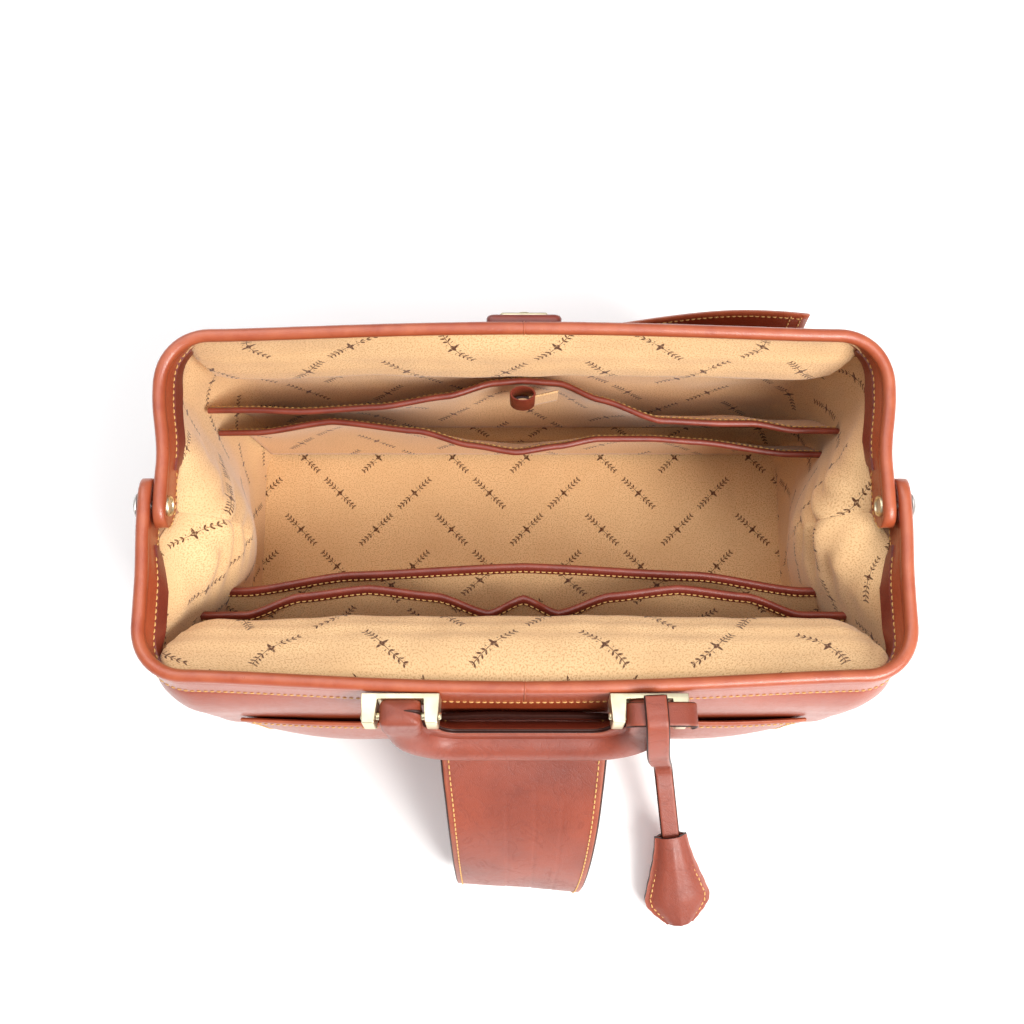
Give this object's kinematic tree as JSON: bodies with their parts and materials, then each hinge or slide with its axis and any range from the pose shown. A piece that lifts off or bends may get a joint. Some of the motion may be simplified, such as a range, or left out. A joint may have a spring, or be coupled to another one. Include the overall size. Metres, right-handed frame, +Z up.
{
  "type": "doctor bag",
  "caption": "Open leather doctor bag: two-part hinged steel mouth frame, lined body with pockets, drop handle, closing strap and key fob.",
  "frame": {"origin": "centre of the base at ground level, on the underside of the centre stud", "axes": "+X along the mouth, -Y towards the handle side, +Z up; the bag stands open"},
  "size_m": [0.4176, 0.359, 0.2067],
  "materials": {
    "leather": "vegetable-tanned cowhide, waxed, satin",
    "dark_leather": "darker edge-dyed leather, satin",
    "lining": "suede-like cotton cloth with a small printed motif",
    "antique_brass": "light antique brass, satin",
    "steel": "nickel-plated steel",
    "board": "pressed fibreboard",
    "rope": "twisted cotton rope"
  },
  "bodies": {
    "root": {"foot_front_left": "antique_brass", "foot_front_right": "antique_brass", "foot_back_left": "antique_brass", "foot_back_right": "antique_brass", "foot_centre": "antique_brass", "base_leather": "leather", "base_board": "board", "floor_lining": "lining", "front_panel": "leather", "back_panel": "leather", "left_gusset": "leather", "right_gusset": "leather", "front_lining": "lining", "back_lining": "lining", "left_lining": "lining", "right_lining": "lining", "front_pocket": "leather", "back_pocket": "leather", "near_large_pocket": "lining", "near_large_pocket_binding": "dark_leather", "near_small_pockets": "lining", "near_small_pockets_binding": "dark_leather", "far_large_pocket": "lining", "far_large_pocket_binding": "dark_leather", "far_small_pockets": "lining", "far_small_pockets_binding": "dark_leather", "pen_loop": "leather", "pivot_rivet_left": "steel", "pivot_rivet_right": "steel", "pivot_washer_left": "antique_brass", "pivot_washer_right": "antique_brass"},
    "front_frame": {"strap_root": "leather", "front_frame_strip": "steel", "front_frame_cover": "leather", "front_facing_left": "dark_leather", "front_facing_right": "dark_leather", "handle_bracket_left": "antique_brass", "handle_bracket_right": "antique_brass", "bracket_pin_left": "antique_brass", "bracket_pin_right": "antique_brass", "fob_loop": "leather"},
    "back_frame": {"back_frame_strip": "steel", "back_frame_cover": "leather", "back_facing_left": "dark_leather", "back_facing_right": "dark_leather", "lock_patch": "dark_leather", "lock_case": "antique_brass"},
    "handle": {"handle_grip": "leather", "handle_core": "rope", "handle_eye_left": "antique_brass", "handle_eye_right": "antique_brass"},
    "strap": {"closing_strap": "leather", "strap_tongue": "antique_brass"},
    "fob_thong": {"fob_thong": "leather"},
    "fob_end": {"fob_tail": "leather", "key": "steel"},
    "fob_bell": {"fob_bell": "leather"},
    "lock_button": {"lock_button": "antique_brass"}
  },
  "joints": [
    {"name": "front_frame_fold", "type": "hinge", "parent": "root", "child": "front_frame", "pos_m": [0, 0, 0.185], "axis": [-1, 0, 0], "range_deg": [0, 84.3]},
    {"name": "back_frame_fold", "type": "hinge", "parent": "root", "child": "back_frame", "pos_m": [0, 0, 0.185], "axis": [1, 0, 0], "range_deg": [0, 76.3]},
    {"name": "handle_swing", "type": "hinge", "parent": "front_frame", "child": "handle", "pos_m": [0, -0.1112, 0.1877], "axis": [-1, 0, 0], "range_deg": [0, 150], "deforming": ["fob_thong", "fob_loop"]},
    {"name": "strap_lift", "type": "hinge", "parent": "front_frame", "child": "strap", "pos_m": [0, -0.15, 0.1105], "axis": [-1, 0, 0], "range_deg": [0, 55]},
    {"name": "fob_thong_hang", "type": "hinge", "parent": "front_frame", "child": "fob_thong", "pos_m": [0, -0.1112, 0.1877], "axis": [-1, 0, 0], "range_deg": [-44.3, 0]},
    {"name": "fob_end_hang", "type": "hinge", "parent": "fob_thong", "child": "fob_end", "pos_m": [0.0902, -0.1389, 0.0407], "axis": [-1, 0, 0], "range_deg": [-81.8, 0]},
    {"name": "bell_slide", "type": "slide", "parent": "fob_end", "child": "fob_bell", "axis": [-0.1201, 0.9308, 0.3453], "range_m": [0, 0.038]},
    {"name": "lock_button_press", "type": "slide", "parent": "back_frame", "child": "lock_button", "axis": [0, -0.9397, -0.342], "range_m": [0, 0.0015], "stiffness_N_per_m": 300}
  ],
  "couplings": [
    {"joint": "fob_thong_hang", "follows": "front_frame_fold", "ratio": -0.525},
    {"joint": "fob_end_hang", "follows": "front_frame_fold", "ratio": -0.97}
  ]
}
